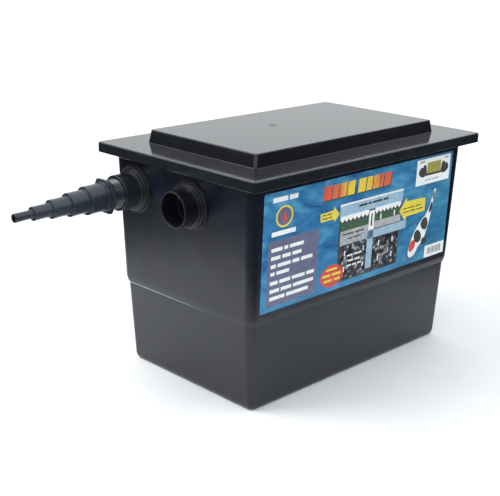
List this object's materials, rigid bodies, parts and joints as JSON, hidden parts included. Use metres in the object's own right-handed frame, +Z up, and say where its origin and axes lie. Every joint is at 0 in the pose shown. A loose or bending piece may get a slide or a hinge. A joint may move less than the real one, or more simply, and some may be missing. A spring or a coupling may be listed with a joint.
{
  "type": "pond filter box",
  "caption": "Flow-through pond filter box with a loose raised-panel lid, stepped hosetail inlet, pipe outlet, spray bar and layered media.",
  "frame": {"origin": "centre of the tank's flat underside, on the ground", "axes": "+Z up, +X along the long side away from the ports, the ports on the -X wall, the label on the -Y wall"},
  "size_m": [0.8239, 0.398, 0.435],
  "materials": {
    "tank_plastic": "satin black moulded polyethylene",
    "lid_plastic": "gloss black moulded plastic with a fine grain",
    "label_print": "printed vinyl sticker with a satin varnish",
    "fitting_plastic": "satin black moulded plastic",
    "hosetail_plastic": "satin charcoal moulded plastic",
    "pipe_black": "satin black extruded pipe",
    "pipe_grey": "satin grey pressure pipe",
    "pipe_white": "satin white extruded pipe",
    "gasket_rubber": "matt black rubber",
    "stainless_steel": "stainless steel",
    "grid_plastic": "matt black moulded lattice",
    "media_net": "black knotted net filled with ribbed plastic media",
    "grey_foam": "open cell grey foam",
    "green_matting": "coarse green fibre matting",
    "white_wool": "fine white polyester wool"
  },
  "bodies": {
    "filter_box": {"tank": "tank_plastic", "label": "label_print", "outlet_connector": "fitting_plastic", "outlet_gasket": "gasket_rubber", "outlet_backnut": "fitting_plastic", "outlet_stub": "pipe_black", "inlet_connector": "fitting_plastic", "inlet_gasket": "gasket_rubber", "inlet_backnut": "fitting_plastic", "inlet_bush": "fitting_plastic", "bar_end_cup": "fitting_plastic", "cup_screws": "stainless_steel", "outlet_pipe": "pipe_grey", "outlet_tee": "pipe_grey", "riser_pipe": "pipe_grey", "overflow_pipe": "pipe_white", "support_grid": "grid_plastic", "bio_media": "media_net", "media_grid": "grid_plastic", "foam_layer": "grey_foam", "green_mat": "green_matting", "wool_layer": "white_wool"},
    "lid": {"lid": "lid_plastic"},
    "spray_bar": {"spray_bar": "pipe_black", "spray_bar_cap": "fitting_plastic"},
    "hosetail": {"hosetail": "hosetail_plastic"}
  },
  "joints": [
    {"name": "lid_lift", "type": "slide", "parent": "filter_box", "child": "lid", "axis": [0, 0, 1], "range_m": [0, 0.15]},
    {"name": "spray_bar_turn", "type": "hinge", "parent": "filter_box", "child": "spray_bar", "pos_m": [0, 0.1195, 0.347], "axis": [0.9995, 0, 0.033], "continuous": true},
    {"name": "hosetail_turn", "type": "hinge", "parent": "filter_box", "child": "hosetail", "pos_m": [-0.33382, 0.1195, 0.33599], "axis": [-0.9995, 0, -0.033], "continuous": true}
  ]
}
